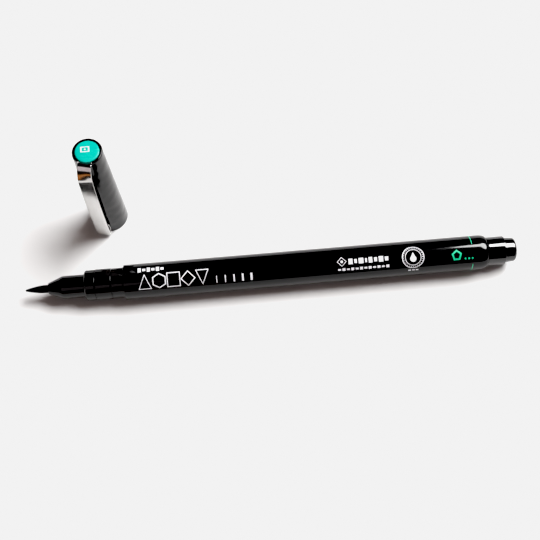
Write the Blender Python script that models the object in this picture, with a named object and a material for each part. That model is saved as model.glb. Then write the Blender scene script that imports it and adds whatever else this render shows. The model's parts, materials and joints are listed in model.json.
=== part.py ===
"""Brush pen with its cap off: the pen lies on its side along X, the cap stands on its mouth beside it.

The origin is the middle of the whole arrangement, on the surface that it rests on, and +Z is up.
Each sub-part is one object. The pen's parts are turned about the pen's own axis, which an empty
holds, and the cap's parts about the cap's axis, which another empty holds.
"""
import math

import bmesh
import bpy
from mathutils import Matrix, Vector

MM = 0.001
SEGMENTS = 48          # facets round every turned part, all in step so that nested parts stay clear
GAP = 0.1              # clearance between parts that touch, mm

# ---- Driving dimensions, mm. Stations along the pen are measured from the tip of the nib. ----
PEN_LENGTH = 132.0
BARREL_RADIUS = 4.7
COLLAR_RADIUS = 4.05
NOSE_RADIUS = 3.05
NIB_RADIUS = 1.05

NOSE_MOUTH = 6.2       # where the nib comes out
NOSE_CONE_END = 10.05
COLLAR_START = 15.95
BARREL_START = 26.45   # the step that the cap's mouth closes against
BARREL_END = 123.9
TAIL_STEP = 128.8

CAP_MOUTH_RADIUS = 4.86
CAP_TOP_RADIUS = 3.78
CAP_HEIGHT = 36.0      # to the top of the black rim
CAP_SPACING = 22.5     # from the pen's axis to the cap's
CAP_STATION = 22.4     # how far behind the nib's tip the cap stands
CLIP_BEARING = -104.0  # degrees from +X, the side of the cap that the clip is on
CLIP_WIDTH = 3.5
CLIP_FLARE = 0.35      # how much wider the arm is at its foot than at its crease
CLIP_SHEET = 0.44
CLIP_BOW = 0.22        # how far the middle of the arm stands out
CREASE = (6.25, 31.9)  # radius and height of the bend between the clip's shoulder and its arm
FOOT = (6.3, 1.5)      # radius and height where the arm's lower end starts to turn under

BARREL_BORE = 3.75
SPIGOT_RADIUS = BARREL_BORE - GAP
PEN_Y = (BARREL_RADIUS - CAP_SPACING - CAP_MOUTH_RADIUS) / 2.0


def clear_scene():
    for thing in list(bpy.data.objects):
        bpy.data.objects.remove(thing, do_unlink=True)


def make_material(name, colour, roughness, metallic=0.0):
    material = bpy.data.materials.new(name)
    material.use_nodes = True
    shader = material.node_tree.nodes["Principled BSDF"]
    shader.inputs["Base Color"].default_value = (*colour, 1.0)
    shader.inputs["Roughness"].default_value = roughness
    shader.inputs["Metallic"].default_value = metallic
    material.diffuse_color = (*colour, 1.0)
    return material


def make_axis(name, location, rotation):
    """An empty whose local Z is the axis that a group of parts is turned about."""
    axis = bpy.data.objects.new(name, None)
    axis.location = Vector(location) * MM
    axis.rotation_euler = rotation
    bpy.context.collection.objects.link(axis)
    bpy.context.view_layer.update()
    return axis


def add_object(name, mesh_builder, material, axis, pivot=(0.0, 0.0, 0.0)):
    """Finish a bmesh as an object parented to an axis, with its origin at a pivot on that axis's frame."""
    bmesh.ops.translate(mesh_builder, verts=mesh_builder.verts, vec=-Vector(pivot))
    bmesh.ops.scale(mesh_builder, verts=mesh_builder.verts, vec=(MM, MM, MM))
    bmesh.ops.recalc_face_normals(mesh_builder, faces=mesh_builder.faces)
    mesh = bpy.data.meshes.new(name)
    mesh_builder.to_mesh(mesh)
    mesh_builder.free()
    mesh.shade_smooth()
    mesh.set_sharp_from_angle(angle=math.radians(30.0))
    mesh.materials.append(material)
    piece = bpy.data.objects.new(name, mesh)
    bpy.context.collection.objects.link(piece)
    piece.parent = axis
    piece.location = Vector(pivot) * MM
    return piece


def turned(name, outline, material, axis, pivot=(0.0, 0.0, 0.0)):
    """Turn an outline of (station, radius) points about local Z.

    An outline that starts and ends on the axis makes a solid; any other is closed into a ring.
    """
    builder = bmesh.new()
    points = [builder.verts.new((radius, 0.0, station)) for station, radius in outline]
    edges = [builder.edges.new(pair) for pair in zip(points, points[1:])]
    if outline[0][1] > 0.0:
        edges.append(builder.edges.new((points[-1], points[0])))
    bmesh.ops.spin(builder, geom=points + edges, axis=(0.0, 0.0, 1.0), cent=(0.0, 0.0, 0.0),
                   angle=math.tau, steps=SEGMENTS, use_merge=True)
    bmesh.ops.remove_doubles(builder, verts=builder.verts, dist=1e-4)
    return add_object(name, builder, material, axis, pivot)


def round_corner(centre, size, start, end, steps):
    """Points on a quarter ellipse in (station, radius), from one angle to another in degrees."""
    angles = [math.radians(start + (end - start) * step / steps) for step in range(steps + 1)]
    return [(centre[0] + size[0] * math.cos(a), centre[1] + size[1] * math.sin(a)) for a in angles]


def cut(piece, cutter):
    """Take a cutter out of a piece, and keep the cutter only as a hidden guide."""
    cutter.hide_render = True
    cutter.display_type = "WIRE"
    boolean = piece.modifiers.new("cut", "BOOLEAN")
    boolean.operation = "DIFFERENCE"
    boolean.solver = "EXACT"
    boolean.object = cutter


def box_builder(low, high):
    builder = bmesh.new()
    size = Vector(high) - Vector(low)
    middle = (Vector(high) + Vector(low)) / 2.0
    bmesh.ops.create_cube(builder, size=1.0, matrix=Matrix.Translation(middle) @ Matrix.Diagonal((*size, 1.0)))
    return builder


# ---- The pen ---------------------------------------------------------------------------------

def make_barrel(axis, black):
    """The moulded tube: a square front step, a plain bore, and a rounded shoulder at the tail."""
    shoulder = round_corner((BARREL_END - 2.0, BARREL_RADIUS - 0.65), (2.0, 0.65), 90.0, 0.0, 5)
    outline = [(BARREL_START, BARREL_BORE), (BARREL_START, BARREL_RADIUS - 0.15),
               (BARREL_START + 0.15, BARREL_RADIUS)] + shoulder + [(BARREL_END, BARREL_BORE)]
    turned("barrel", outline, black, axis)


def make_front_section(axis, black):
    """The collar that the cap fits over, with a raised snap band, and a spigot pressed into the barrel."""
    band_start, band_end, band_rise = 18.85, 23.1, 0.08
    nose_socket_end, spigot_end = 22.3, 34.0
    outline = [(COLLAR_START, NOSE_RADIUS + GAP), (COLLAR_START, COLLAR_RADIUS - 0.4),
               (COLLAR_START + 0.4, COLLAR_RADIUS), (band_start - 0.1, COLLAR_RADIUS),
               (band_start, COLLAR_RADIUS + band_rise), (band_end, COLLAR_RADIUS + band_rise),
               (band_end + 0.1, COLLAR_RADIUS), (BARREL_START - GAP, COLLAR_RADIUS),
               (BARREL_START - GAP, SPIGOT_RADIUS), (spigot_end - 0.3, SPIGOT_RADIUS),
               (spigot_end, SPIGOT_RADIUS - 0.2), (spigot_end, 2.5), (nose_socket_end, 2.5),
               (nose_socket_end, NOSE_RADIUS + GAP)]
    turned("front_section", outline, black, axis)


def make_nose_cone(axis, black):
    """The tapered nose: a hole that the nib comes out of, and a tail pressed into the collar."""
    tail_end = 22.2
    outline = [(NOSE_MOUTH, NIB_RADIUS + 0.32), (NOSE_MOUTH, 1.5), (NOSE_MOUTH + 0.1, 1.62),
               (NOSE_CONE_END - 0.35, NOSE_RADIUS - 0.12), (NOSE_CONE_END, NOSE_RADIUS - 0.02),
               (NOSE_CONE_END + 0.3, NOSE_RADIUS), (tail_end, NOSE_RADIUS), (tail_end, 2.3),
               (9.9, 2.3), (8.4, 1.9), (8.4, NIB_RADIUS + 0.32)]
    turned("nose_cone", outline, black, axis)


def make_nib_holder(axis, white):
    """The inner sleeve that centres the nib's root and the ink feeder inside the nose."""
    outline = [(8.5, NIB_RADIUS + 0.32), (8.5, 1.8), (10.0, 2.2), (24.0, 2.2), (24.0, 1.0), (9.8, 1.0),
               (9.6, NIB_RADIUS + 0.32)]
    turned("nib_holder", outline, white, axis)


def make_brush_nib(axis, felt, pivot_station):
    """The soft pointed nib: a slender ogive, a short parallel shank, and a root inside the nose."""
    ogive_length, tip_radius, steps = 4.8, 0.13, 9
    outline = [(0.0, 0.0)]
    for step in range(steps + 1):
        share = step / steps
        fullness = share ** 0.85 * (1.0 + 0.16 * math.sin(math.pi * share))
        outline.append((0.04 + (ogive_length - 0.04) * share,
                        tip_radius + (NIB_RADIUS - tip_radius) * min(fullness, 1.0)))
    root_end = 9.1
    outline += [(root_end - 0.2, NIB_RADIUS), (root_end, NIB_RADIUS - 0.15), (root_end, 0.0)]
    turned("brush_nib", outline, felt, axis, pivot=(0.0, 0.0, pivot_station))


def make_ink_feeder(axis, felt):
    """The thin fibre rod that carries ink from the reservoir to the nib's root."""
    start, end, radius = 9.4, 42.0, 0.9
    turned("ink_feeder", [(start, 0.0), (start, radius), (end - 0.4, radius), (end, 0.5), (end, 0.0)], felt, axis)


def make_ink_reservoir(axis, ink_fibre):
    """The bundle of ink-soaked fibre that fills the barrel, with a socket for the feeder."""
    start, end, radius = 35.5, 115.5, 3.4
    outline = [(start, 1.0), (start, radius), (end, radius), (end, 0.0), (start + 7.0, 0.0), (start + 7.0, 1.0)]
    # The outline ends on the axis in the middle of the rod, so it is turned as two halves of one path.
    path = [outline[4], outline[5], outline[0], outline[1], outline[2], outline[3]]
    turned("ink_reservoir", path, ink_fibre, axis)


def make_reservoir_wrap(axis, film):
    """The plastic film sleeve round the fibre bundle, slightly longer than the bundle."""
    inner, outer, start, end = 3.46, 3.62, 35.2, 115.8
    turned("reservoir_wrap", [(start, inner), (start, outer), (end, outer), (end, inner)], film, axis)


def make_tail_plug(axis, black):
    """The end plug: a hollow spigot pressed into the barrel, then two steps that the cap posts on."""
    spigot_start, tier_radius, end_radius, rounding = 117.0, 3.9, 3.4, 0.8
    end_corner = round_corner((PEN_LENGTH - rounding, end_radius - 0.1 - rounding), (rounding, rounding), 90.0, 0.0, 4)
    outline = [(122.8, 0.0), (122.8, 2.6), (spigot_start, 2.7), (spigot_start, SPIGOT_RADIUS - 0.2),
               (spigot_start + 0.4, SPIGOT_RADIUS), (BARREL_END + GAP, SPIGOT_RADIUS),
               (BARREL_END + GAP, tier_radius - 0.1), (BARREL_END + 2 * GAP, tier_radius),
               (TAIL_STEP - 0.25, tier_radius), (TAIL_STEP, tier_radius - 0.2), (TAIL_STEP, end_radius)]
    outline += end_corner + [(PEN_LENGTH, 0.0)]
    turned("tail_plug", outline, black, axis)


# ---- The cap, in its own frame: the mouth at zero, the clip towards local +X ------------------

CAVITY_STEP = 10.9       # the wide bore over the collar ends here
CAVITY_TOP = 27.9
SOCKET_FLOOR = 29.9      # the socket for the top plug's stem
SOCKET_RADIUS = 2.45
SHELF = 34.95            # the clip's ring lies on this shelf
RECESS_RADIUS = 3.12
RING_BASE = SHELF + GAP
RING_TOP = RING_BASE + CLIP_SHEET
DISC_BASE = RING_TOP + GAP
HINGE_RADIUS = 3.3       # where the clip's arm bends, just outside its ring
HINGE_HEIGHT = (RING_BASE + RING_TOP) / 2.0


def make_cap_body(axis, black):
    """The tapered shell: a stepped bore below, a plug socket above, and a notched rim for the clip."""
    side_slope = (CAP_MOUTH_RADIUS - CAP_TOP_RADIUS) / CAP_HEIGHT
    rim_start = CAP_HEIGHT - 0.55
    rim = round_corner((rim_start, CAP_TOP_RADIUS + side_slope * 0.55 - 0.4), (0.55, 0.4), 90.0, 0.0, 4)
    outline = [(0.0, 4.27), (0.0, CAP_MOUTH_RADIUS - 0.12), (0.12, CAP_MOUTH_RADIUS)] + rim
    outline += [(CAP_HEIGHT, RECESS_RADIUS), (SHELF, RECESS_RADIUS), (SHELF, SOCKET_RADIUS),
                (SOCKET_FLOOR, SOCKET_RADIUS), (SOCKET_FLOOR, 0.0)]
    cavity = [(CAVITY_TOP, 0.0), (CAVITY_TOP, 3.5), (CAVITY_STEP, 3.5), (CAVITY_STEP, 4.17)]
    shell = turned("cap_body", cavity + outline, black, axis)
    half_width = CLIP_WIDTH / 2.0 + 0.25
    notch = add_object("clip_notch", box_builder((2.2, -half_width, SHELF - 0.3), (6.0, half_width, 38.0)),
                       black, axis)
    cut(shell, notch)


def make_inner_cap(axis, white):
    """The sealing cup inside the cap, which closes round the nose and keeps the nib wet."""
    start, floor, end, outer, inner = 11.2, 27.0, 27.7, 3.4, NOSE_RADIUS + 0.06
    outline = [(floor, 0.0), (floor, inner), (start + 0.4, inner), (start, inner + 0.15), (start, outer), (end, outer),
               (end, 0.0)]
    turned("inner_cap", outline, white, axis)


def make_top_plug(axis, teal):
    """The coloured plug: a hollow stem pressed into the cap, under a flat disc that holds the clip's ring."""
    stem, stem_end, disc_radius, top = SOCKET_RADIUS - GAP, 30.3, RECESS_RADIUS - 0.08, CAP_HEIGHT + 0.15
    outline = [(DISC_BASE - 0.3, 0.0), (DISC_BASE - 0.3, 1.4), (stem_end, 1.5), (stem_end, stem - 0.2),
               (stem_end + 0.4, stem), (DISC_BASE, stem), (DISC_BASE, disc_radius), (top - 0.15, disc_radius),
               (top, disc_radius - 0.15), (top, 0.0)]
    turned("top_plug", outline, teal, axis)


def make_clip_ring(axis, steel):
    """The flat ring of the clip that the plug clamps, with the short tongue that the arm springs from."""
    ring_inner, ring_outer, tongue_end = SOCKET_RADIUS, 3.0, HINGE_RADIUS - 0.06
    half_width = CLIP_WIDTH / 2.0
    builder = bmesh.new()
    # One outline round ring and tongue, so that it stays a single sheet.
    leave = math.asin(half_width / ring_outer)
    steps = SEGMENTS - 8
    angles = [leave + (math.tau - 2.0 * leave) * step / steps for step in range(steps + 1)]
    outer = [(ring_outer * math.cos(a), ring_outer * math.sin(a)) for a in angles]
    outer += [(tongue_end, -half_width), (tongue_end, half_width)]
    inner = [(ring_inner * math.cos(a), ring_inner * math.sin(a)) for a in angles]
    inner += [(ring_inner * math.cos(-leave / 3.0), ring_inner * math.sin(-leave / 3.0)),
              (ring_inner * math.cos(leave / 3.0), ring_inner * math.sin(leave / 3.0))]
    rings = []
    for points, height in ((outer, RING_BASE), (outer, RING_TOP), (inner, RING_TOP), (inner, RING_BASE)):
        rings.append([builder.verts.new((x, y, height)) for x, y in points])
    count = len(outer)
    for ring, following in zip(rings, rings[1:] + rings[:1]):
        for index in range(count):
            after = (index + 1) % count
            builder.faces.new((ring[index], ring[after], following[after], following[index]))
    add_object("clip_ring", builder, steel, axis)


def clip_path():
    """The middle line of the clip's sheet as (radius, height): shoulder, straight arm, and folded-back foot."""
    foot_radius = 0.55
    start = (HINGE_RADIUS + 0.06, HINGE_HEIGHT)
    # The shoulder leaves the rim level and steepens all the way to the crease.
    points = []
    shoulder_steps = 9
    guides = (start, (4.3, HINGE_HEIGHT), (5.25, 33.8), CREASE)
    for step in range(shoulder_steps + 1):
        share = step / shoulder_steps
        rest = 1.0 - share
        weights = (rest ** 3, 3.0 * rest ** 2 * share, 3.0 * rest * share ** 2, share ** 3)
        points.append(tuple(sum(w * g[i] for w, g in zip(weights, guides)) for i in (0, 1)))
    points += [(CREASE[0] + (FOOT[0] - CREASE[0]) * share + 4.0 * CLIP_BOW * share * (1.0 - share),
                CREASE[1] + (FOOT[1] - CREASE[1]) * share) for share in (0.25, 0.5, 0.75, 1.0)]
    # The foot turns under towards the cap, and its end lies back against the arm.
    for degrees in range(-30, -181, -30):
        angle = math.radians(degrees)
        points.append((FOOT[0] - foot_radius + foot_radius * math.cos(angle),
                       FOOT[1] + foot_radius * math.sin(angle)))
    points += [(5.18, 2.6), (5.28, 3.8), (5.47, 5.0), (5.68, 6.1)]
    return points


def make_pocket_clip(axis, steel):
    """The spring arm, bent from one strip of sheet: its origin is on the line that it flexes about."""
    path = [Vector((radius, 0.0, height)) for radius, height in clip_path()]
    half = CLIP_SHEET / 2.0
    builder = bmesh.new()
    sections = []
    for index, point in enumerate(path):
        before = path[max(index - 1, 0)]
        after = path[min(index + 1, len(path) - 1)]
        run = (after - before).normalized()
        side = Vector((-run.z, 0.0, run.x))
        first = (point - before).normalized() if index else run
        stretch = 1.0 / max(math.cos(first.angle(run)), 0.7)
        fallen = min(max((CREASE[1] - point.z) / (CREASE[1] - FOOT[1]), 0.0), 1.0)
        width = CLIP_WIDTH + CLIP_FLARE * fallen
        corners = []
        for offset, across in ((half, -1.0), (half, 1.0), (-half, 1.0), (-half, -1.0)):
            corner = point + side * offset * stretch
            corner.y = across * width / 2.0
            corners.append(builder.verts.new(corner))
        sections.append(corners)
    for section, following in zip(sections, sections[1:]):
        for index in range(4):
            after = (index + 1) % 4
            builder.faces.new((section[index], section[after], following[after], following[index]))
    builder.faces.new(sections[0])
    builder.faces.new(sections[-1])
    add_object("pocket_clip", builder, steel, axis, pivot=(HINGE_RADIUS, 0.0, HINGE_HEIGHT))


clear_scene()
black_plastic = make_material("black_plastic", (0.012, 0.012, 0.014), 0.22)
white_plastic = make_material("white_plastic", (0.82, 0.82, 0.80), 0.45)
teal_plastic = make_material("teal_plastic", (0.0, 0.62, 0.52), 0.3)
clip_steel = make_material("clip_steel", (0.72, 0.71, 0.69), 0.25, 1.0)
nib_felt = make_material("nib_felt", (0.02, 0.02, 0.022), 0.8)
ink_fibre = make_material("ink_fibre", (0.01, 0.01, 0.012), 0.9)
wrap_film = make_material("wrap_film", (0.75, 0.76, 0.76), 0.3)

pen_axis = make_axis("pen_axis", (-PEN_LENGTH / 2.0, PEN_Y, BARREL_RADIUS), (0.0, math.radians(90.0), 0.0))
make_barrel(pen_axis, black_plastic)
make_front_section(pen_axis, black_plastic)
make_nose_cone(pen_axis, black_plastic)
make_nib_holder(pen_axis, white_plastic)
make_brush_nib(pen_axis, nib_felt, pivot_station=7.4)
make_ink_feeder(pen_axis, nib_felt)
make_ink_reservoir(pen_axis, ink_fibre)
make_reservoir_wrap(pen_axis, wrap_film)
make_tail_plug(pen_axis, black_plastic)

cap_axis = make_axis("cap_axis", (CAP_STATION - PEN_LENGTH / 2.0, PEN_Y + CAP_SPACING, 0.0),
                     (0.0, 0.0, math.radians(CLIP_BEARING)))
make_cap_body(cap_axis, black_plastic)
make_inner_cap(cap_axis, white_plastic)
make_top_plug(cap_axis, teal_plastic)
make_clip_ring(cap_axis, clip_steel)
make_pocket_clip(cap_axis, clip_steel)
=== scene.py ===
"""Brush pen lying on its side with its cap standing beside it: the finished surfaces and the studio.

The file follows the pen as it is put together: barrel, collar, nose, nib, tail plug, the ink parts
inside, the cap and its clip, then the printing, and last the table, the lights and the camera.
"""
import json
import math

import bmesh
import bpy
from mathutils import Euler, Matrix, Vector


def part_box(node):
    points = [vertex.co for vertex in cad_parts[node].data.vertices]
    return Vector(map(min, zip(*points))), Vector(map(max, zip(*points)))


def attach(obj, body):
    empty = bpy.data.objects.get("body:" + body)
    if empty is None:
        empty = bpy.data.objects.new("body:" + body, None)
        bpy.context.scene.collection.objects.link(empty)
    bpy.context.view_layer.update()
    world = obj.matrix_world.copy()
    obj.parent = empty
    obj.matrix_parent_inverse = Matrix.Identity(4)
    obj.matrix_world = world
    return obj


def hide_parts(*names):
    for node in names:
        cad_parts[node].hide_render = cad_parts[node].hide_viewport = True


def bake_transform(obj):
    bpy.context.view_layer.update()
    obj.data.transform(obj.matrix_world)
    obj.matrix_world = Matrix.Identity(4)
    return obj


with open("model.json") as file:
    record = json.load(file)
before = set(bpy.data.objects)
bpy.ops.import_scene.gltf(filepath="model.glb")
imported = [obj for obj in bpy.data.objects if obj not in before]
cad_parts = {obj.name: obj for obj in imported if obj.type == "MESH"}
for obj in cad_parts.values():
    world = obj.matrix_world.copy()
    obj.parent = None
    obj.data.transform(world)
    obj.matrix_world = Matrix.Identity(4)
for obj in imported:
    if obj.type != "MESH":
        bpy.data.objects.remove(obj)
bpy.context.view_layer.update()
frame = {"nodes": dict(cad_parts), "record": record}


# ---- Barrel -------------------------------------------------------------------------------------
# The barrel is one long polypropylene moulding, glossy black, with a square step where the cap's
# mouth lands and a rounded shoulder at the tail. It is moulded round a core pin, so it is a tube.

MM = 0.001
ROUND = 144                                  # facets round a visible turned part
HOLD = 0.25 * MM                             # a long straight run has a ring this far inside each of its ends
barrel_low, barrel_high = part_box("barrel")
nib_low, nib_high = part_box("brush_nib")
pen_y = (barrel_low[1] + barrel_high[1]) / 2.0
pen_z = (barrel_low[2] + barrel_high[2]) / 2.0
print_film = 0.012 * MM                      # the printing stands this proud, so the tube is that much slimmer
barrel_radius = (barrel_high[2] - barrel_low[2]) / 2.0 - print_film
pen_place = Matrix.Translation((nib_low[0], pen_y, pen_z)) @ Matrix.Rotation(math.radians(90.0), 4, "Y")


def station(x):
    """How far a place lies behind the tip of the nib."""
    return x - nib_low[0]


def only(piece):
    """Make a piece the only selected one, and the active one."""
    for other in bpy.context.selected_objects:
        other.select_set(False)
    piece.select_set(True)
    bpy.context.view_layer.objects.active = piece


def settle(piece, place):
    """Move a finished piece to its place, and put that place in its mesh."""
    only(piece)
    piece.matrix_world = place
    bpy.ops.object.transform_apply(location=True, rotation=True, scale=True)


def apply_modifier(piece, kind, **settings):
    only(piece)
    modifier = piece.modifiers.new(kind.lower(), kind)
    for key, value in settings.items():
        setattr(modifier, key, value)
    bpy.ops.object.modifier_apply(modifier=modifier.name)


def start_point(name, first):
    """A mesh of one point, in edit mode, from which an outline is drawn by extruding."""
    if bpy.context.selected_objects:
        only(bpy.context.selected_objects[0])
    bpy.ops.mesh.primitive_plane_add(size=MM)
    piece = bpy.context.active_object
    piece.name = name
    piece.data.name = name
    bpy.ops.object.mode_set(mode="EDIT")
    bpy.ops.mesh.select_mode(type="VERT")
    bpy.ops.mesh.merge(type="CENTER")
    bpy.ops.transform.translate(value=first)
    return piece


def turn(name, outline, place, edge=0.08 * MM, round_steps=ROUND):
    """Draw an outline of (station, radius) points, spin it about its axis, and soften its corners."""
    corners = [Vector((radius, 0.0, along)) for along, radius in outline]
    if outline[0][1] > 0.0:
        corners.append(corners[0])
    points = corners[:1]
    for here, following in zip(corners, corners[1:]):
        run = (following - here).length
        if run > 4.0 * HOLD:
            points += [here.lerp(following, HOLD / run), here.lerp(following, 1.0 - HOLD / run)]
        points.append(following)
    piece = start_point(name, points[0])
    for here, following in zip(points, points[1:]):
        bpy.ops.mesh.extrude_region_move(TRANSFORM_OT_translate={"value": following - here})
    bpy.ops.mesh.select_all(action="SELECT")
    bpy.ops.mesh.spin(steps=round_steps, angle=math.tau, center=(0.0, 0.0, 0.0), axis=(0.0, 0.0, 1.0))
    bpy.ops.mesh.select_all(action="SELECT")
    bpy.ops.mesh.remove_doubles(threshold=0.0005 * MM)
    bpy.ops.mesh.normals_make_consistent(inside=False)
    bpy.ops.object.mode_set(mode="OBJECT")
    if edge:
        soften(piece, edge)
    settle(piece, place)
    return piece


def soften(piece, edge):
    """Round a piece's sharp edges by a moulding's or a stamping's small radius, and shade it smooth."""
    apply_modifier(piece, "BEVEL", width=edge, segments=3, limit_method="ANGLE",
                   angle_limit=math.radians(28.0), harden_normals=False)
    only(piece)
    bpy.ops.object.shade_smooth_by_angle(angle=math.radians(40.0))


def corner(centre, size, start, end, steps):
    """Points on a quarter ellipse in (station, radius), between two angles in degrees."""
    angles = [math.radians(start + (end - start) * step / steps) for step in range(steps + 1)]
    return [(centre[0] + size[0] * math.cos(a), centre[1] + size[1] * math.sin(a)) for a in angles]


class Wire:
    """An output in a node tree. Sums on it add Math nodes, and node() adds any other node."""

    def __init__(self, tree, socket=None):
        self.tree = tree
        self.socket = socket

    def node(self, kind, settings=None, sockets=None, output=0):
        made = self.tree.nodes.new(kind)
        for key, value in (settings or {}).items():
            if key == "stops":
                ramp = made.color_ramp.elements
                while len(ramp) < len(value):
                    ramp.new(0.5)
                for element, (position, colour) in zip(ramp, value):
                    element.position = position
                    element.color = colour
            else:
                setattr(made, key, value)
        for key, value in (sockets or {}).items():
            if isinstance(value, Wire):
                self.tree.links.new(value.socket, made.inputs[key])
            else:
                made.inputs[key].default_value = value
        return Wire(self.tree, made.outputs[output] if len(made.outputs) else None)

    def sum(self, operation, first, second):
        return self.node("ShaderNodeMath", {"operation": operation}, {0: first, 1: second})

    def __add__(self, other):
        return self.sum("ADD", self, other)

    def __radd__(self, other):
        return self.sum("ADD", other, self)

    def __sub__(self, other):
        return self.sum("SUBTRACT", self, other)

    def __rsub__(self, other):
        return self.sum("SUBTRACT", other, self)

    def __mul__(self, other):
        return self.sum("MULTIPLY", self, other)

    def __rmul__(self, other):
        return self.sum("MULTIPLY", other, self)

    def band(self, low, high):
        """Zero below low, one above high, and a smooth rise between."""
        return self.node("ShaderNodeMapRange", {"interpolation_type": "SMOOTHSTEP"},
                         {"Value": self, "From Min": low, "From Max": high})


def new_finish(name):
    """An empty material with its output node: returns the material and a Wire to build from."""
    material = bpy.data.materials.new(name)
    material.use_nodes = True
    tree = material.node_tree
    tree.nodes.clear()
    return material, Wire(tree)


def close_finish(wire, sockets):
    """Put a Principled shader with these sockets on the material's output."""
    shader = wire.node("ShaderNodeBsdfPrincipled", None, sockets)
    wire.node("ShaderNodeOutputMaterial", None, {"Surface": shader})


def grain(wire, size, stretch=(1.0, 1.0, 1.0), detail=3.0, distortion=0.0):
    """Noise whose features are about this size, longer along an axis whose stretch is above 1."""
    coordinates = wire.node("ShaderNodeTexCoord", output=3)
    scaled = wire.node("ShaderNodeMapping", None,
                       {"Vector": coordinates, "Scale": tuple(1.0 / (size * s) for s in stretch)})
    return wire.node("ShaderNodeTexNoise", None,
                     {"Vector": scaled, "Scale": 1.0, "Detail": detail, "Distortion": distortion})


def relief(wire, height, depth, over=None):
    """A bump of this depth, over another bump where one is given."""
    sockets = {"Height": height, "Distance": depth}
    if over:
        sockets["Normal"] = over
    return wire.node("ShaderNodeBump", None, sockets)


def moulded_plastic(name, colour, roughness, handled=0.06, peel=0.0012 * MM, shine=0.5, sink=0.0):
    """Glossy injection-moulded plastic: faint flow, a soft orange peel, and rubbed patches from handling.

    A sink above zero adds the broad shallow hollows of a thin shell that cooled unevenly.
    """
    material, wire = new_finish(name)
    flow = grain(wire, 6.0 * MM, detail=2.0)
    rubbed = grain(wire, 2.2 * MM, stretch=(2.5, 1.0, 1.0), detail=5.0).band(0.42, 0.72)
    hairlines = grain(wire, 0.16 * MM, stretch=(14.0, 1.0, 1.0), detail=2.0).band(0.6, 0.78)
    lighter = tuple(min(1.0, c * 1.25 + 0.002) for c in colour)
    tone = wire.node("ShaderNodeMix", {"data_type": "RGBA"},
                     {"Factor": flow, "A": (*colour, 1.0), "B": (*lighter, 1.0)}, output=2)
    dimples = grain(wire, 0.35 * MM, detail=2.0)
    hollows = relief(wire, grain(wire, 5.0 * MM, detail=1.0), sink) if sink else None
    close_finish(wire, {
        "Base Color": tone,
        "Roughness": roughness + rubbed * handled + hairlines * (handled * 0.8),
        "Normal": relief(wire, dimples, peel, hollows),
        "IOR": 1.49,
        "Specular IOR Level": shine,
    })
    return material


black_plastic = moulded_plastic("black_plastic", (0.0012, 0.0012, 0.0015), 0.055, handled=0.04, shine=0.4)
shoulder_run, shoulder_drop = 2.0 * MM, 0.62 * MM
barrel_start, barrel_end = station(barrel_low[0]), station(barrel_high[0])
barrel_bore = 3.75 * MM
barrel = turn("barrel_tube", [(barrel_start, barrel_bore), (barrel_start, barrel_radius)]
              + corner((barrel_end - shoulder_run, barrel_radius - shoulder_drop), (shoulder_run, shoulder_drop),
                       90.0, 0.0, 12)
              + [(barrel_end, barrel_bore)], pen_place, edge=0.12 * MM)
barrel.data.materials.append(black_plastic)
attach(barrel, "pen")
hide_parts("barrel")


# ---- Collar -------------------------------------------------------------------------------------
# The cap closes over this collar. A raised band, with a fine groove at each side, snaps inside the
# cap's mouth. It is a separate black moulding whose spigot is pressed into the barrel.

collar_low, collar_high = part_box("front_section")
collar_start, collar_back = station(collar_low[0]), station(collar_high[0])
band_radius = (collar_high[2] - collar_low[2]) / 2.0
collar_radius = band_radius - 0.08 * MM
band_start, band_end = collar_start + 2.9 * MM, collar_start + 7.15 * MM
groove, groove_width = 0.09 * MM, 0.12 * MM
nose_low, nose_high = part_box("nose_cone")
nose_radius = (nose_high[2] - nose_low[2]) / 2.0
nose_socket = nose_radius + 0.03 * MM        # the nose is pressed into this socket
socket_end = 22.3 * MM
spigot_radius = barrel_bore - 0.1 * MM
spigot_bore = 2.5 * MM
collar_front = collar_radius - 0.42 * MM     # the front edge is chamfered down to this
seam = 0.02 * MM                             # the fine line that shows between collar and barrel
collar_outline = [(collar_start, nose_socket), (collar_start, collar_front),
                  (collar_start + 0.14 * MM, collar_radius - 0.2 * MM), (collar_start + 0.4 * MM, collar_radius)]
for edge_of_band, side in ((band_start, 1.0), (band_end, -1.0)):
    outside = [(edge_of_band - side * groove_width, collar_radius),
               (edge_of_band - side * groove_width * 0.7, collar_radius - groove),
               (edge_of_band, collar_radius - groove), (edge_of_band + side * 0.1 * MM, band_radius)]
    collar_outline += outside if side > 0.0 else outside[::-1]
collar_outline += [(barrel_start - seam, collar_radius), (barrel_start - seam, spigot_radius),
                   (collar_back, spigot_radius), (collar_back, spigot_bore), (socket_end, spigot_bore),
                   (socket_end, nose_socket)]
collar = turn("collar", collar_outline, pen_place, edge=0.05 * MM)
collar.data.materials.append(black_plastic)
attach(collar, "pen")
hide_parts("front_section")


# ---- Nose ---------------------------------------------------------------------------------------
# The nose is a thin black cone with a short cylinder behind it, pressed into the collar. The nib
# comes out of a round mouth whose lip is moulded slightly rounded.

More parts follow.
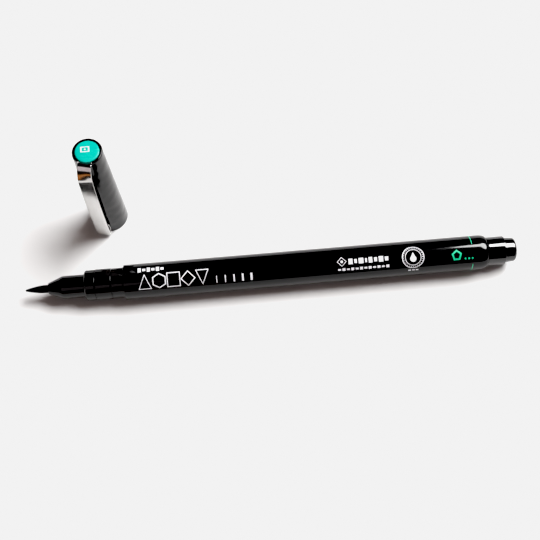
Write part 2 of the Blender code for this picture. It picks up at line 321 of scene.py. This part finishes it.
mouth_station = station(nose_low[0])
cone_end = mouth_station + 3.85 * MM
nib_radius = (nib_high[2] - nib_low[2]) / 2.0
mouth_bore = nib_radius + 0.2 * MM
mouth_length = 2.2 * MM
lip_radius = 1.55 * MM
lip_run, lip_rise = 0.22 * MM, 0.14 * MM
holder_bore, holder_start = 2.3 * MM, 3.7 * MM
nose_outline = [(mouth_station, mouth_bore)]
nose_outline += corner((mouth_station + lip_run, lip_radius - 0.12 * MM), (lip_run, lip_rise), 180.0, 112.0, 4)
nose_outline += [(cone_end - 0.45 * MM, nose_radius - 0.15 * MM), (cone_end - 0.2 * MM, nose_radius - 0.07 * MM),
                 (cone_end + 0.05 * MM, nose_radius - 0.02 * MM), (cone_end + 0.35 * MM, nose_radius)]
nose_back = station(nose_high[0])
nose_outline += [(nose_back, nose_radius), (nose_back, holder_bore), (mouth_station + holder_start, holder_bore),
                 (mouth_station + mouth_length, 1.9 * MM), (mouth_station + mouth_length, mouth_bore)]
nose = turn("nose", nose_outline, pen_place, edge=0.05 * MM)
nose.data.materials.append(black_plastic)
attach(nose, "pen")
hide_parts("nose_cone")


# ---- Nib ----------------------------------------------------------------------------------------
# The nib is a bundle of fine synthetic fibre, bonded and ground to a point, black with ink. Its
# shank is gripped inside the nose. On the real pen the free length bends; here it is drawn straight, with close rings
# along the mouth.

ogive = 4.8 * MM
tip_radius, tip_end = 0.21 * MM, 0.06 * MM
nib_steps = 26
nib_outline = [(0.0, 0.0), (0.02 * MM, tip_radius * 0.6)]
for step in range(nib_steps + 1):
    share = step / nib_steps
    fullness = min(share ** 0.8 * (1.0 + 0.16 * math.sin(math.pi * share)), 1.0)
    nib_outline.append((tip_end + (ogive - tip_end) * share,
                        tip_radius + (nib_radius - 0.01 * MM - tip_radius) * fullness))
nib_root = station(nib_high[0])
nib_outline += [(mouth_station + 0.6 * MM * step, nib_radius) for step in range(5)]
nib_outline += [(nib_root, nib_radius - 0.1 * MM), (nib_root, 0.0)]
nib = turn("nib_tip", nib_outline, pen_place, edge=0.0)
only(nib)
bpy.ops.object.shade_smooth_by_angle(angle=math.radians(50.0))

nib_felt, wire = new_finish("nib_felt")
fibres = grain(wire, 0.045 * MM, stretch=(30.0, 1.0, 1.0), detail=3.0)
clumps = grain(wire, 0.4 * MM, stretch=(5.0, 1.0, 1.0), detail=2.0)
nib_tone = wire.node("ShaderNodeMix", {"data_type": "RGBA"},
                     {"Factor": fibres * clumps, "A": (0.0008, 0.0008, 0.001, 1.0), "B": (0.008, 0.009, 0.009, 1.0)},
                     output=2)
close_finish(wire, {"Base Color": nib_tone, "Roughness": 0.62 + fibres * 0.25,
                    "Normal": relief(wire, fibres, 0.006 * MM), "Specular IOR Level": 0.12})
nib.data.materials.append(nib_felt)
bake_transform(nib)
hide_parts("brush_nib")


# ---- Tail plug ----------------------------------------------------------------------------------
# The plug closes the barrel once it is filled. It is a black moulding with two steps that the cap
# fits over when it is posted, and a round end; its spigot is hidden in the barrel.

plug_low, plug_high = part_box("tail_plug")
plug_start, plug_end = station(plug_low[0]), station(plug_high[0])
tier_radius = (plug_high[2] - plug_low[2]) / 2.0
tier_step = barrel_end + 4.9 * MM
end_radius = 3.4 * MM
end_round = 0.85 * MM
plug_floor = barrel_end - 1.6 * MM           # the hollow spigot is closed here
plug_face = barrel_end + 0.06 * MM
plug_outline = [(plug_floor, 0.0), (plug_floor, 2.6 * MM), (plug_start, 2.7 * MM),
                (plug_start, spigot_radius - 0.2 * MM), (plug_start + 0.4 * MM, spigot_radius),
                (plug_face, spigot_radius), (plug_face, tier_radius - 0.12 * MM),
                (barrel_end + 0.2 * MM, tier_radius), (tier_step, tier_radius), (tier_step, end_radius + 0.12 * MM),
                (tier_step + 0.15 * MM, end_radius)]
plug_outline += corner((plug_end - end_round, end_radius - 0.14 * MM - end_round), (end_round, end_round),
                       90.0, 0.0, 10)
plug_outline += [(plug_end, 0.0)]
tail_plug = turn("tail_plug_steps", plug_outline, pen_place, edge=0.1 * MM)
glossy_black = moulded_plastic("glossy_black", (0.0012, 0.0012, 0.0014), 0.035, handled=0.02, peel=0.0005 * MM,
                               shine=0.9)
tail_plug.data.materials.append(glossy_black)
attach(tail_plug, "pen")
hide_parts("tail_plug")


# ---- Ink parts ----------------------------------------------------------------------------------
# Inside the barrel a bundle of polyester fibre holds the ink in a clear film sleeve. A thin fibre
# rod feeds the nib, and a natural white sleeve centres rod and nib in the nose.

natural_white = moulded_plastic("natural_white", (0.78, 0.78, 0.75), 0.38, handled=0.1, peel=0.003 * MM)
ink_fibre, wire = new_finish("ink_fibre")
strands = grain(wire, 0.05 * MM, stretch=(60.0, 1.0, 1.0), detail=3.0)
wetness = grain(wire, 5.0 * MM, detail=2.0).band(0.35, 0.65)
strand_tone = wire.node("ShaderNodeMix", {"data_type": "RGBA"},
                        {"Factor": strands, "A": (0.004, 0.004, 0.005, 1.0), "B": (0.03, 0.03, 0.034, 1.0)}, output=2)
close_finish(wire, {"Base Color": strand_tone, "Roughness": 0.85 - wetness * 0.25,
                    "Normal": relief(wire, strands, 0.02 * MM)})
wrap_film, wire = new_finish("wrap_film")
creases = grain(wire, 1.6 * MM, stretch=(1.0, 4.0, 4.0), detail=4.0, distortion=0.6)
close_finish(wire, {"Base Color": (0.75, 0.76, 0.76, 1.0), "Roughness": 0.18 + creases * 0.2,
                    "Normal": relief(wire, creases, 0.05 * MM)})
for node, finish in (("nib_holder", natural_white), ("ink_feeder", ink_fibre), ("ink_reservoir", ink_fibre),
                     ("reservoir_wrap", wrap_film)):
    inside = frame["nodes"][node]
    inside.data.materials.clear()
    inside.data.materials.append(finish)


# ---- Cap shell ----------------------------------------------------------------------------------
# The cap is a thin tapered shell, glossy black, wider at its mouth. Its top rim is rounded over and
# has one slot, through which the clip leaves, and a socket in it takes the coloured plug.

cap_low, cap_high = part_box("cap_body")
cap_centre = Vector(((cap_low[0] + cap_high[0]) / 2.0, (cap_low[1] + cap_high[1]) / 2.0, 0.0))
mouth_radius = (cap_high[0] - cap_low[0]) / 2.0
cap_height = cap_high[2] - cap_low[2]
clip_joint = next(j for j in frame["record"]["behaviour"]["joints"] if j["name"] == "clip_flex")
hinge = Vector(clip_joint["pos_m"])
clip_side = math.atan2(hinge.y - cap_centre.y, hinge.x - cap_centre.x)
hinge_radius = (Vector((hinge.x, hinge.y, 0.0)) - cap_centre).length
cap_place = Matrix.Translation(cap_centre) @ Matrix.Rotation(clip_side, 4, "Z")

top_radius = 3.78 * MM
rim_drop, rim_inset = 0.4 * MM, 0.3 * MM
recess_radius = 3.12 * MM
shelf = 34.95 * MM
plug_socket = 2.45 * MM
web_under, web_over = 27.9 * MM, 29.9 * MM   # the wall between the bore and the plug's socket
cap_bore, collar_bore = 3.5 * MM, 4.17 * MM
collar_depth = 10.9 * MM                     # how far the collar goes into the cap
mouth_round = 0.16 * MM
side_slope = (mouth_radius - top_radius) / cap_height
cap_outline = [(web_under, 0.0), (web_under, cap_bore), (collar_depth, cap_bore), (collar_depth, collar_bore),
               (0.35 * MM, collar_bore + 0.1 * MM), (0.0, 4.4 * MM)]
cap_outline += corner((mouth_round, mouth_radius - mouth_round), (mouth_round, mouth_round), 180.0, 92.0, 5)
cap_outline += [(cap_height * share, mouth_radius - side_slope * cap_height * share) for share in (0.25, 0.5, 0.75)]
cap_outline += corner((cap_height - rim_drop, top_radius + side_slope * rim_drop - rim_inset),
                      (rim_drop, rim_inset), 88.0, 0.0, 10)
cap_outline += [(cap_height, recess_radius), (shelf, recess_radius), (shelf, plug_socket),
                (web_over, plug_socket), (web_over, 0.0)]
cap_shell = turn("cap_shell", cap_outline, Matrix.Identity(4), edge=0.0)

clip_width = 3.5 * MM
slot_low, slot_high = Vector((2.2 * MM, 0.0, shelf - 0.3 * MM)), Vector((6.0 * MM, 0.0, 38.0 * MM))
bpy.ops.mesh.primitive_cube_add(size=1.0, location=(slot_low + slot_high) / 2.0)
slot_cutter = bpy.context.active_object
slot_cutter.scale = (slot_high.x - slot_low.x, clip_width + 0.2 * MM, slot_high.z - slot_low.z)
apply_modifier(cap_shell, "BOOLEAN", operation="DIFFERENCE", solver="EXACT", object=slot_cutter)
bpy.data.objects.remove(slot_cutter, do_unlink=True)
soften(cap_shell, 0.05 * MM)
settle(cap_shell, cap_place)
cap_plastic = moulded_plastic("cap_plastic", (0.0012, 0.0012, 0.0015), 0.075, shine=0.42, sink=0.22 * MM)
cap_shell.data.materials.append(cap_plastic)
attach(cap_shell, "cap")
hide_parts("cap_body")


# ---- Inner cap ----------------------------------------------------------------------------------
# A natural white cup sits inside the cap and closes round the nose, so that the nib stays wet. It
# is pressed up against the end of the cap's bore.

inner_low, inner_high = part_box("inner_cap")
inner_radius = (inner_high[0] - inner_low[0]) / 2.0
inner_bore = nose_radius + 0.06 * MM
inner_roof = inner_high[2] - 0.7 * MM
inner_cap = turn("inner_seal_cup",
                 [(inner_roof, 0.0), (inner_roof, inner_bore),
                  (inner_low[2] + 0.5 * MM, inner_bore), (inner_low[2], inner_bore + 0.17 * MM),
                  (inner_low[2], inner_radius), (inner_high[2], inner_radius), (inner_high[2], 0.0)],
                 cap_place, edge=0.05 * MM, round_steps=96)
inner_cap.data.materials.append(natural_white)
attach(inner_cap, "cap")
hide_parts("inner_cap")


# ---- Top plug -----------------------------------------------------------------------------------
# The teal plug shows as a disc in the cap's top, very slightly domed with a soft edge. Its stem is
# pressed into the socket below and clamps the clip's ring.

disc_low, disc_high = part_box("top_plug")
disc_radius = (disc_high[0] - disc_low[0]) / 2.0
disc_base = 35.6 * MM
disc_top = disc_high[2] - print_film
edge_round = 0.26 * MM
dome = 0.05 * MM
stem = plug_socket - 0.1 * MM
stem_roof = disc_base - 0.3 * MM             # the stem is hollow up to here
disc_outline = [(stem_roof, 0.0), (stem_roof, 1.4 * MM), (disc_low[2], 1.5 * MM),
                (disc_low[2], stem - 0.2 * MM), (disc_low[2] + 0.4 * MM, stem), (disc_base, stem),
                (disc_base, disc_radius)]
disc_outline += corner((disc_top - dome - edge_round, disc_radius - edge_round), (edge_round, edge_round),
                       90.0, 14.0, 8)
disc_outline += [(disc_top - dome * share ** 2, (disc_radius - edge_round) * share) for share in (0.8, 0.6, 0.4, 0.2)]
disc_outline += [(disc_top, 0.0)]
top_plug = turn("top_disc", disc_outline, cap_place, edge=0.0)
only(top_plug)
bpy.ops.object.shade_smooth_by_angle(angle=math.radians(40.0))
teal_plastic = moulded_plastic("teal_plastic", (0.0, 0.40, 0.33), 0.24, handled=0.08, peel=0.002 * MM)
top_plug.data.materials.append(teal_plastic)
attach(top_plug, "cap")
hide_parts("top_plug")


# ---- Clip ---------------------------------------------------------------------------------------
# The clip is one stamping of bright spring steel. A ring under the coloured disc holds it, a rounded
# shoulder leads to a crease, and the straight arm ends in a foot folded back under against the cap.

sheet = 0.48 * MM
across_steps = 10
clip_flare = 0.2 * MM                        # how much wider the arm is at its foot
clip_bow = 0.3 * MM                          # how far the arm bows out, a third of the way down
bow_scale = 27.0 / 4.0                       # makes share * (1 - share) ** 2 reach 1 at its highest
crease = Vector((6.27 * MM, 0.0, 32.0 * MM))
crease_bend = 1.0 * MM
crease_slope = math.radians(58.5)
foot = Vector((6.3 * MM, 0.0, 1.45 * MM))
foot_radius = 0.34 * MM
crease_twist = math.radians(7.5)             # the stamping is twisted a little, most at its crease
foot_twist = math.radians(5.0)
lean = 0.3 * MM                              # it stands this far to one side at its crease
lean_back = 1.7                              # and comes back by this many leans at its foot
ring_tail = 2.62 * MM


def bezier(guides, steps):
    """Points along a cubic curve through its first and last guide, without the first point."""
    points = []
    for step in range(1, steps + 1):
        share = step / steps
        rest = 1.0 - share
        weights = (rest ** 3, 3.0 * rest ** 2 * share, 3.0 * rest * share ** 2, share ** 3)
        points.append(sum((w * g for w, g in zip(weights, guides)), Vector((0.0, 0.0, 0.0))))
    return points


hinge_height = hinge.z
shoulder_pull = 1.6 * MM                     # how straight the shoulder runs into its crease
clip_path = [Vector((ring_tail, 0.0, hinge_height)), Vector((hinge_radius, 0.0, hinge_height))]
bend_centre = crease - Vector((crease_bend, 0.0, 0.0))
above_crease = bend_centre + crease_bend * Vector((math.sin(crease_slope), 0.0, math.cos(crease_slope)))
clip_path += bezier((clip_path[-1], Vector((4.3 * MM, 0.0, hinge_height)),
                     above_crease - shoulder_pull * Vector((math.cos(crease_slope), 0.0, -math.sin(crease_slope))),
                     above_crease), 24)
for step in range(1, 9):
    angle = crease_slope + (math.pi / 2.0 - crease_slope) * step / 8.0
    clip_path.append(bend_centre + crease_bend * Vector((math.sin(angle), 0.0, math.cos(angle))))
arm_steps = 130
for step in range(1, arm_steps + 1):
    share = step / arm_steps
    clip_path.append(crease.lerp(foot, share) + Vector((bow_scale * clip_bow * share * (1.0 - share) ** 2, 0.0, 0.0)))
for degrees in range(-12, -181, -12):        # the fold at the foot
    angle = math.radians(degrees)
    clip_path.append(Vector((foot.x - foot_radius + foot_radius * math.cos(angle), 0.0,
                             foot.z + foot_radius * math.sin(angle))))
clip_path += bezier((clip_path[-1], Vector((5.5 * MM, 0.0, 2.1 * MM)), Vector((5.14 * MM, 0.0, 2.2 * MM)),
                     Vector((5.17 * MM, 0.0, 3.2 * MM))), 10)
clip_path += bezier((clip_path[-1], Vector((5.2 * MM, 0.0, 4.2 * MM)), Vector((5.4 * MM, 0.0, 5.2 * MM)),
                     Vector((5.74 * MM, 0.0, 6.2 * MM))), 12)

clip = start_point("clip", clip_path[0] + Vector((0.0, -clip_width / 2.0, 0.0)))
for step in range(across_steps):
    bpy.ops.mesh.extrude_region_move(TRANSFORM_OT_translate={"value": (0.0, clip_width / across_steps, 0.0)})
bpy.ops.mesh.select_all(action="SELECT")
for here, following in zip(clip_path, clip_path[1:]):
    bpy.ops.mesh.extrude_region_move(TRANSFORM_OT_translate={"value": following - here})
bpy.ops.mesh.select_all(action="SELECT")
bpy.ops.mesh.normals_make_consistent(inside=False)
bpy.ops.object.mode_set(mode="OBJECT")

# The strip is twisted, widened and leant: entered runs down the shoulder and fallen down the arm.
for vertex in clip.data.vertices:
    fallen = min(max((crease.z - vertex.co.z) / (crease.z - foot.z), 0.0), 1.0)
    entered = min(max((hinge_height - vertex.co.z) / (hinge_height - crease.z), 0.0), 1.0)
    twist = crease_twist * entered ** 2 + (foot_twist - crease_twist) * fallen ** 2
    vertex.co.x -= vertex.co.y * math.sin(twist)
    vertex.co.y = vertex.co.y * (1.0 + clip_flare * fallen / clip_width) + lean * (entered - lean_back * fallen)

# Three short curved ridges are pressed into the arm near its foot, for the thumb.
ridge_heights = (7.2 * MM, 8.6 * MM, 10.0 * MM)
ridge_half_width, ridge_half_height, ridge_depth, ridge_sag = 1.15 * MM, 0.32 * MM, 0.1 * MM, 0.25 * MM
arm_inner_side = 6.0 * MM                    # the folded-back leg lies inside this
for vertex in clip.data.vertices:
    if vertex.co.x < arm_inner_side or abs(vertex.co.y) > ridge_half_width:
        continue
    for height in ridge_heights:
        bowed = height - ridge_sag * (1.0 - (vertex.co.y / ridge_half_width) ** 2)
        away = abs(vertex.co.z - bowed) / ridge_half_height
        if away < 1.0:
            vertex.co.x -= ridge_depth * (1.0 + math.cos(math.pi * away)) / 2.0

apply_modifier(clip, "SOLIDIFY", thickness=sheet, offset=0.0, use_even_offset=True)
only(clip)
bpy.ops.object.mode_set(mode="EDIT")
bpy.ops.mesh.select_all(action="SELECT")
bpy.ops.mesh.normals_make_consistent(inside=False)
bpy.ops.object.mode_set(mode="OBJECT")
soften(clip, 0.07 * MM)
settle(clip, cap_place)

clip_steel, wire = new_finish("clip_steel")
brushing = grain(wire, 0.035 * MM, stretch=(1.0, 1.0, 60.0), detail=3.0)
broad = grain(wire, 0.5 * MM, stretch=(1.0, 1.0, 8.0), detail=2.0)
fingered = grain(wire, 3.0 * MM, detail=4.0).band(0.45, 0.7)
steel_tone = wire.node("ShaderNodeMix", {"data_type": "RGBA"},
                       {"Factor": broad, "A": (0.54, 0.53, 0.52, 1.0), "B": (0.71, 0.70, 0.685, 1.0)}, output=2)
close_finish(wire, {"Base Color": steel_tone, "Metallic": 1.0,
                    "Roughness": 0.08 + brushing * 0.06 + fingered * 0.04,
                    "Normal": relief(wire, brushing, 0.001 * MM)})
clip.data.materials.append(clip_steel)
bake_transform(clip)
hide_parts("pocket_clip")

ring_node = frame["nodes"]["clip_ring"]
ring_node.data.materials.clear()
ring_node.data.materials.append(clip_steel)


# ---- Printing -----------------------------------------------------------------------------------
# White and teal ink is pad-printed on the barrel, and a small white mark on the coloured disc. Each
# mark here is a plain shape, a closed film of ink that is wrapped round the barrel.

facing = math.radians(67.0)                  # the printed side, measured up from the side of the clip


def ink_finish(name, colour):
    """Matt opaque ink with tiny pinholes where the print is thin."""
    material, wire = new_finish(name)
    thin = grain(wire, 0.12 * MM, detail=3.0).band(0.62, 0.8)
    faded = tuple(c * 0.72 for c in colour)
    tone = wire.node("ShaderNodeMix", {"data_type": "RGBA"},
                     {"Factor": thin, "A": (*colour, 1.0), "B": (*faded, 1.0)}, output=2)
    close_finish(wire, {"Base Color": tone, "Roughness": 0.42 + thin * 0.2,
                        "Normal": relief(wire, thin, 0.002 * MM)})
    return material


def outline_mark(sides, u, v, across, high, stroke, lean=0.0):
    """An outlined shape of a number of sides, drawn flat: u along the pen and v round it."""
    bpy.ops.mesh.primitive_circle_add(vertices=sides, radius=0.5, fill_type="NOTHING",
                                      location=(u, v, 0.0), rotation=(0.0, 0.0, math.radians(lean)))
    mark = bpy.context.active_object
    bpy.ops.object.transform_apply(location=False, rotation=True, scale=False)
    mark.scale = (across, high, 1.0)
    bpy.ops.object.transform_apply(location=True, rotation=False, scale=True)
    bpy.ops.object.mode_set(mode="EDIT")
    bpy.ops.mesh.select_all(action="SELECT")
    bpy.ops.mesh.extrude_edges_move()
    inner = 1.0 - 2.0 * stroke / min(across, high)
    bpy.ops.transform.resize(value=(inner, inner, 1.0), center_override=(u, v, 0.0))
    bpy.ops.mesh.select_all(action="SELECT")
    bpy.ops.mesh.subdivide(number_cuts=max(1, 36 // sides))
    bpy.ops.object.mode_set(mode="OBJECT")
    return mark


def filled_mark(sides, u, v, across, high, lean=0.0):
    """A filled shape, drawn flat; with four sides and a lean of 45 degrees it is an upright block."""
    bpy.ops.mesh.primitive_circle_add(vertices=sides, radius=0.5, fill_type="TRIFAN",
                                      location=(u, v, 0.0), rotation=(0.0, 0.0, math.radians(lean)))
    mark = bpy.context.active_object
    bpy.ops.object.transform_apply(location=False, rotation=True, scale=False)
    widen = math.sqrt(2.0) if sides == 4 and lean == 45.0 else 1.0
    mark.scale = (across * widen, high * widen, 1.0)
    bpy.ops.object.transform_apply(location=True, rotation=False, scale=True)
    bpy.ops.object.mode_set(mode="EDIT")
    bpy.ops.mesh.select_all(action="SELECT")
    bpy.ops.mesh.subdivide(number_cuts=3)
    bpy.ops.object.mode_set(mode="OBJECT")
    return mark


def print_film_of(name, marks, ink):
    """Join flat marks into one film of ink, with its thickness."""
    only(marks[0])
    for mark in marks:
        mark.select_set(True)
    bpy.ops.object.join()
    film = bpy.context.active_object
    film.name = name
    film.data.name = name
    apply_modifier(film, "SOLIDIFY", thickness=print_film * 1.6, offset=0.0)
    film.data.materials.clear()
    film.data.materials.append(ink)
    return film


def wrap(film):
    """Wrap a flat film round the barrel, so that its line v = 0 runs along the printed side."""
    for vertex in film.data.vertices:
        angle = facing + vertex.co.y / (barrel_radius + print_film)
        radius = barrel_radius + vertex.co.z
        vertex.co = (nib_low[0] + vertex.co.x, pen_y - radius * math.cos(angle), pen_z + radius * math.sin(angle))
    only(film)
    bpy.ops.object.mode_set(mode="EDIT")
    bpy.ops.mesh.select_all(action="SELECT")
    bpy.ops.mesh.normals_make_consistent(inside=False)
    bpy.ops.object.mode_set(mode="OBJECT")
    bpy.ops.object.shade_smooth_by_angle(angle=math.radians(40.0))
    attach(film, "pen")


white_ink = ink_finish("white_ink", (0.80, 0.80, 0.84))
teal_ink = ink_finish("teal_ink", (0.016, 0.58, 0.30))

# A short line of blocks over a row of five outlined shapes, and five bars from thin to thick.
upright = 45.0                               # the lean that stands a four-sided mark on its flat side
marks = [filled_mark(4, (30.85 + 1.2 * index) * MM, 3.1 * MM, 0.85 * MM, (1.35, 0.8)[index % 2] * MM, upright)
         for index in range(6)]
shape_row = -0.27
for index, (sides, lean, across, high, lift) in enumerate((
        (3, 0.0, 4.1, 5.6, -0.7), (6, 0.0, 4.1, 4.2, 0.0), (4, upright, 5.0, 5.7, 0.0), (4, 0.0, 4.0, 4.3, 0.0),
        (3, 180.0, 4.1, 5.6, 0.7))):
    marks.append(outline_mark(sides, (32.1 + 3.8 * index) * MM, (shape_row + lift) * MM, across * MM, high * MM,
                              0.34 * MM, lean))
for index in range(5):
    marks.append(filled_mark(4, (51.0 + 2.3 * index) * MM, -1.25 * MM, (0.2 + 0.1 * index) * MM, 2.0 * MM, upright))
wrap(print_film_of("front_printing", marks, white_ink))

# A leaning square with a dot, then two lines of blocks.
marks = [outline_mark(4, 84.3 * MM, 0.6 * MM, 2.6 * MM, 2.6 * MM, 0.2 * MM),
         filled_mark(16, 84.3 * MM, 0.6 * MM, 0.7 * MM, 0.7 * MM)]
along = 86.1
for index, width in enumerate((1.1, 0.7, 1.3, 0.5, 1.0, 0.8, 1.2, 0.9)):
    marks.append(filled_mark(4, (along + width / 2.0) * MM, 0.5 * MM, width * MM, (1.5, 1.1)[index % 2] * MM,
                             upright))
    along += width + 0.45
for index in range(12):
    marks.append(filled_mark(4, (83.6 + 1.17 * index) * MM, -1.55 * MM, 0.8 * MM, (0.5, 0.75)[index % 2] * MM,
                             upright))

# A round mark: two rings with ticks between them, and a drop in the middle.
round_u, round_v = 103.4 * MM, 0.2 * MM
marks += [outline_mark(36, round_u, round_v, 6.0 * MM, 6.0 * MM, 0.2 * MM),
          outline_mark(36, round_u, round_v, 4.4 * MM, 4.4 * MM, 0.16 * MM),
          filled_mark(20, round_u, round_v - 0.4 * MM, 1.7 * MM, 1.7 * MM),
          filled_mark(3, round_u, round_v + 0.38 * MM, 1.7 * MM, 2.0 * MM)]
ticks, tick_radius = 28, 2.58 * MM
for tick in range(ticks):
    angle = math.tau * tick / ticks
    marks.append(filled_mark(4, round_u + tick_radius * math.cos(angle), round_v + tick_radius * math.sin(angle),
                             0.3 * MM, 0.24 * MM, upright + math.degrees(angle)))
marks += [filled_mark(4, round_u + offset * MM, -3.5 * MM, 0.7 * MM, 0.4 * MM, upright)
          for offset in (-1.0, 0.0, 1.0)]
wrap(print_film_of("rear_printing", marks, white_ink))

# The teal mark: a heavy outlined shape with three dots, and a fine line round the back of the barrel.
marks = [outline_mark(5, 115.1 * MM, -0.3 * MM, 2.9 * MM, 3.2 * MM, 0.55 * MM)]
marks += [filled_mark(12, (117.4 + 0.95 * index) * MM, -1.35 * MM, 0.5 * MM, 0.6 * MM) for index in range(3)]
line_start, line_end = math.radians(31.0), math.radians(360.0 - 38.0)
line_middle = (line_start + line_end) / 2.0 * (barrel_radius + print_film)
line_length = (line_end - line_start) * (barrel_radius + print_film)
bpy.ops.mesh.primitive_plane_add(size=1.0, location=(119.5 * MM, line_middle, 0.0))
fine_line = bpy.context.active_object
fine_line.scale = (0.18 * MM, line_length, 1.0)
bpy.ops.object.transform_apply(location=True, rotation=False, scale=True)
bpy.ops.object.mode_set(mode="EDIT")
bpy.ops.mesh.subdivide(number_cuts=95)
bpy.ops.object.mode_set(mode="OBJECT")
wrap(print_film_of("teal_printing", marks + [fine_line], teal_ink))

# The disc carries a small white frame.
disc_mark = print_film_of("disc_printing", [
    outline_mark(4, 0.0, 0.0, 3.1 * MM, 2.2 * MM, 0.32 * MM, upright),
    filled_mark(12, 0.0, 0.0, 0.45 * MM, 0.45 * MM)], white_ink)
settle(disc_mark, Matrix.Translation((cap_centre.x - 0.5 * MM, cap_centre.y + 0.55 * MM, disc_top)))
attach(disc_mark, "cap")


# ---- Table, lights and camera -------------------------------------------------------------------
# A pale seamless table under a wide soft light that hangs behind and to the right. The steel mirrors
# a dim card above, another in front and a brown one low down; the rest of the room is dark to it.
# Far from the pen the table glows a little and runs into a pale wall, so no dark edge shows.

wall_radius, wall_height = 2.95, 4.0         # in metres, like the places of the lights
glow_start, glow_full = 0.45, 1.3            # how far out the table's own faint glow sets in
bpy.ops.mesh.primitive_plane_add(size=2.0 * wall_radius)
table = bpy.context.active_object
table.name = "table"
pale, wire = new_finish("pale_table")
mottle = grain(wire, 40.0 * MM, detail=2.0)
far_out = wire.node("ShaderNodeVectorMath", {"operation": "LENGTH"},
                    {0: wire.node("ShaderNodeTexCoord", output=3)}, output=1).band(glow_start, glow_full)
far_glow = wire.node("ShaderNodeMix", {"data_type": "RGBA"},
                     {"Factor": far_out, "A": (0.0, 0.0, 0.0, 1.0), "B": (0.9, 0.9, 0.9, 1.0)}, output=2)
table_tone = wire.node("ShaderNodeMix", {"data_type": "RGBA"},
                       {"Factor": mottle, "A": (0.80, 0.80, 0.80, 1.0), "B": (0.81, 0.81, 0.81, 1.0)}, output=2)
close_finish(wire, {"Base Color": table_tone, "Roughness": 0.9, "Specular IOR Level": 0.0,
                    "Emission Color": far_glow, "Emission Strength": 1.0})
table.data.materials.append(pale)

bpy.ops.mesh.primitive_cylinder_add(vertices=96, radius=wall_radius, depth=wall_height, end_fill_type="NOTHING",
                                    location=(0.0, 0.0, wall_height / 2.0))
wall = bpy.context.active_object
wall.name = "backdrop"
pale_wall, wire = new_finish("pale_backdrop")
wall_tone = wire.node("ShaderNodeMix", {"data_type": "RGBA"},
                      {"Factor": grain(wire, 0.6), "A": (1.1, 1.1, 1.1, 1.0), "B": (1.2, 1.2, 1.2, 1.0)}, output=2)
close_finish(wire, {"Base Color": (0.0, 0.0, 0.0, 1.0), "Specular IOR Level": 0.0, "Emission Color": wall_tone,
                    "Emission Strength": 1.0})
wall.data.materials.append(pale_wall)
wall.visible_diffuse = wall.visible_glossy = wall.visible_shadow = False


def soft_light(name, place, size, power, colour=(1.0, 1.0, 1.0), mirrored=True, level=False, shape="RECTANGLE"):
    """A soft light at a place in metres. It faces the pen, or hangs level and faces down."""
    lamp = bpy.data.lights.new(name, "AREA")
    lamp.shape = shape
    lamp.size, lamp.size_y = size
    lamp.energy = power
    lamp.color = colour
    lamp_object = bpy.data.objects.new(name, lamp)
    lamp_object.location = place
    if not level:
        lamp_object.rotation_euler = Vector(place).to_track_quat("Z", "Y").to_euler()
    lamp_object.visible_glossy = mirrored
    bpy.context.collection.objects.link(lamp_object)


soft_light("key", (1.495, 0.80, 2.0), (1.84, 1.8), 182.0, level=True, shape="ELLIPSE")
soft_light("overhead_fill", (0.0, 0.1, 2.0), (2.6, 2.6), 6.0, (1.0, 0.70, 0.58), mirrored=False, level=True)
soft_light("dim_card", (-0.72, 0.10, 2.0), (0.95, 2.8), 6.0, (1.0, 0.88, 0.91), level=True)
soft_light("front_card", (-0.65, -1.0, 1.07), (0.9, 0.95), 2.0, (1.0, 0.88, 0.91))
soft_light("brown_card", (-0.67, -1.43, 0.295), (1.4, 0.13), 0.38, (1.0, 0.42, 0.12))

world = bpy.data.worlds.new("studio")
world.use_nodes = True
world.node_tree.nodes["Background"].inputs["Color"].default_value = (0.012, 0.012, 0.013, 1.0)
world.node_tree.nodes["Background"].inputs["Strength"].default_value = 1.0
bpy.context.scene.world = world

# The tones are printed a little hard: whites stop at a pale grey, and the deepest shades close up.
developing = bpy.context.scene.view_settings
developing.view_transform = "Standard"
developing.use_curve_mapping = True
developing.curve_mapping.extend = "HORIZONTAL"
tone_curve = developing.curve_mapping.curves[3]
tone_curve.points[0].location = (0.0, 0.0)
tone_curve.points[1].location = (1.0, 0.887)
for shade, shown in ((0.014, 0.0012), (0.05, 0.028), (0.14, 0.105), (0.3, 0.27)):
    tone_curve.points.new(shade, shown)
developing.curve_mapping.update()

pen_middle_x = (nib_low[0] + plug_high[0]) / 2.0
camera_data = bpy.data.cameras.new("camera")
camera_data.lens = 59.97
camera_data.sensor_width = 36.0
camera_data.clip_start = 0.01
camera = bpy.data.objects.new("camera", camera_data)
camera.location = (pen_middle_x - 9.68 * MM, pen_y - 91.9 * MM, 228.5 * MM)
camera.rotation_euler = (Euler((math.radians(90.0 - 67.58), 0.0, math.radians(-5.625))).to_matrix()
                         @ Matrix.Rotation(math.radians(0.34), 3, "Z")).to_euler()
bpy.context.collection.objects.link(camera)
bpy.context.scene.camera = camera
